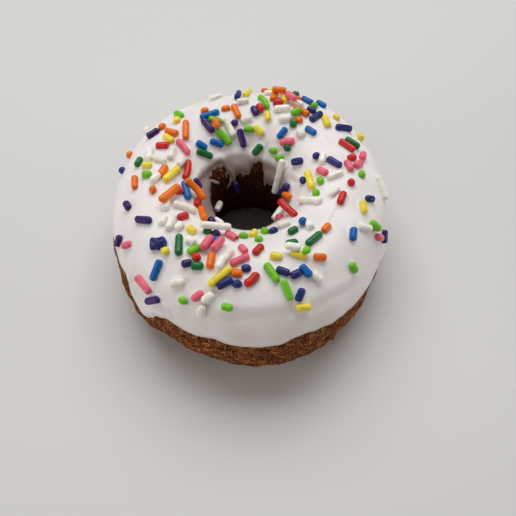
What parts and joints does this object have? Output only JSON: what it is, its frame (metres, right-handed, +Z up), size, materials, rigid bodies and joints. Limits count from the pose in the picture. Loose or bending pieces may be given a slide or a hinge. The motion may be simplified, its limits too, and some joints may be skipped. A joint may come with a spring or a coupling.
{
  "type": "sprinkle frosted doughnut",
  "caption": "Fried cake ring doughnut with a flat underside, a round hole and a coat of white icing over its top half, strewn with short rod sprinkles.",
  "frame": {"origin": "on the surface it rests on, under the middle of the whole doughnut", "axes": "+Z up through the hole, -Y towards the side whose bare crust band is widest"},
  "size_m": [0.0792, 0.0868, 0.0374],
  "materials": {
    "fried_cake": "matte, craggy dark brown fried crust",
    "white_icing": "satin white sugar icing, slightly see-through",
    "sugar_sprinkle": "polished sugar rods in ten colours"
  },
  "bodies": {
    "root": {"cake_ring": "fried_cake", "icing": "white_icing"}
  },
  "joints": []
}
